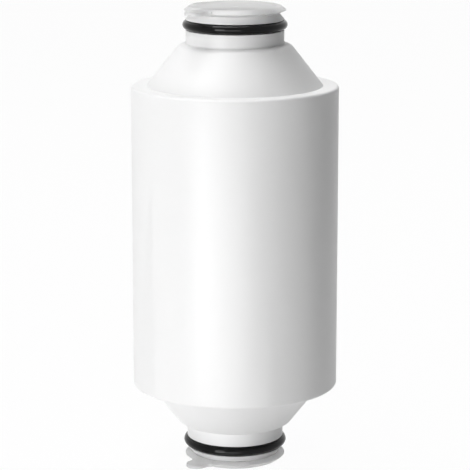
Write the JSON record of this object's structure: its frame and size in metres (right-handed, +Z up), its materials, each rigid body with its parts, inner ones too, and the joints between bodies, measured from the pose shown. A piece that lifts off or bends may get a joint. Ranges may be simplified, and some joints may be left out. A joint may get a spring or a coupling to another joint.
{
  "type": "inline water filter cartridge",
  "caption": "Round inline water filter cartridge with a cone and an O-ring spigot at each end, closed by pull-off dust caps.",
  "frame": {"origin": "middle of the lower dust cap's outer face, on which the cartridge stands", "axes": "+Z up along the cartridge's axis, from the inlet spigot to the outlet spigot; the pull tabs point between -X and -Y"},
  "size_m": [0.0584, 0.0584, 0.131],
  "materials": {
    "sleeve_plastic": "smooth white moulded plastic with a soft sheen",
    "fitting_plastic": "white moulded plastic with faint flow lines",
    "seal_rubber": "black rubber with a low sheen",
    "cap_plastic": "frosted translucent soft plastic",
    "screen_steel": "fine steel mesh",
    "inner_plastic": "plain moulded plastic",
    "carbon": "pressed carbon grains",
    "fleece": "felted fleece",
    "netting": "extruded netting",
    "resin": "cast resin",
    "fibre": "porous hollow fibre"
  },
  "bodies": {
    "cartridge": {"housing_sleeve": "sleeve_plastic", "upper_end_fitting": "fitting_plastic", "lower_end_fitting": "fitting_plastic", "upper_o_ring": "seal_rubber", "lower_o_ring": "seal_rubber", "upper_screen": "screen_steel", "lower_screen": "screen_steel", "upper_screen_ring": "inner_plastic", "lower_screen_ring": "inner_plastic", "flow_diffuser": "inner_plastic", "block_lower_end_cap": "inner_plastic", "block_upper_end_cap": "inner_plastic", "end_cap_gasket": "seal_rubber", "carbon_block": "carbon", "bore_fleece": "fleece", "prefilter_wrap": "fleece", "block_netting": "netting", "membrane_housing": "inner_plastic", "membrane_seal_rings": "seal_rubber", "upper_potting": "resin", "lower_potting": "resin", "fibre_bundle": "fibre"},
    "upper_cap": {"upper_dust_cap": "cap_plastic"},
    "lower_cap": {"lower_dust_cap": "cap_plastic"}
  },
  "joints": [
    {"name": "upper_cap_pull", "type": "slide", "parent": "cartridge", "child": "upper_cap", "axis": [0, 0, 1], "range_m": [0, 0.025]},
    {"name": "lower_cap_pull", "type": "slide", "parent": "cartridge", "child": "lower_cap", "axis": [0, 0, -1], "range_m": [0, 0.025]}
  ]
}
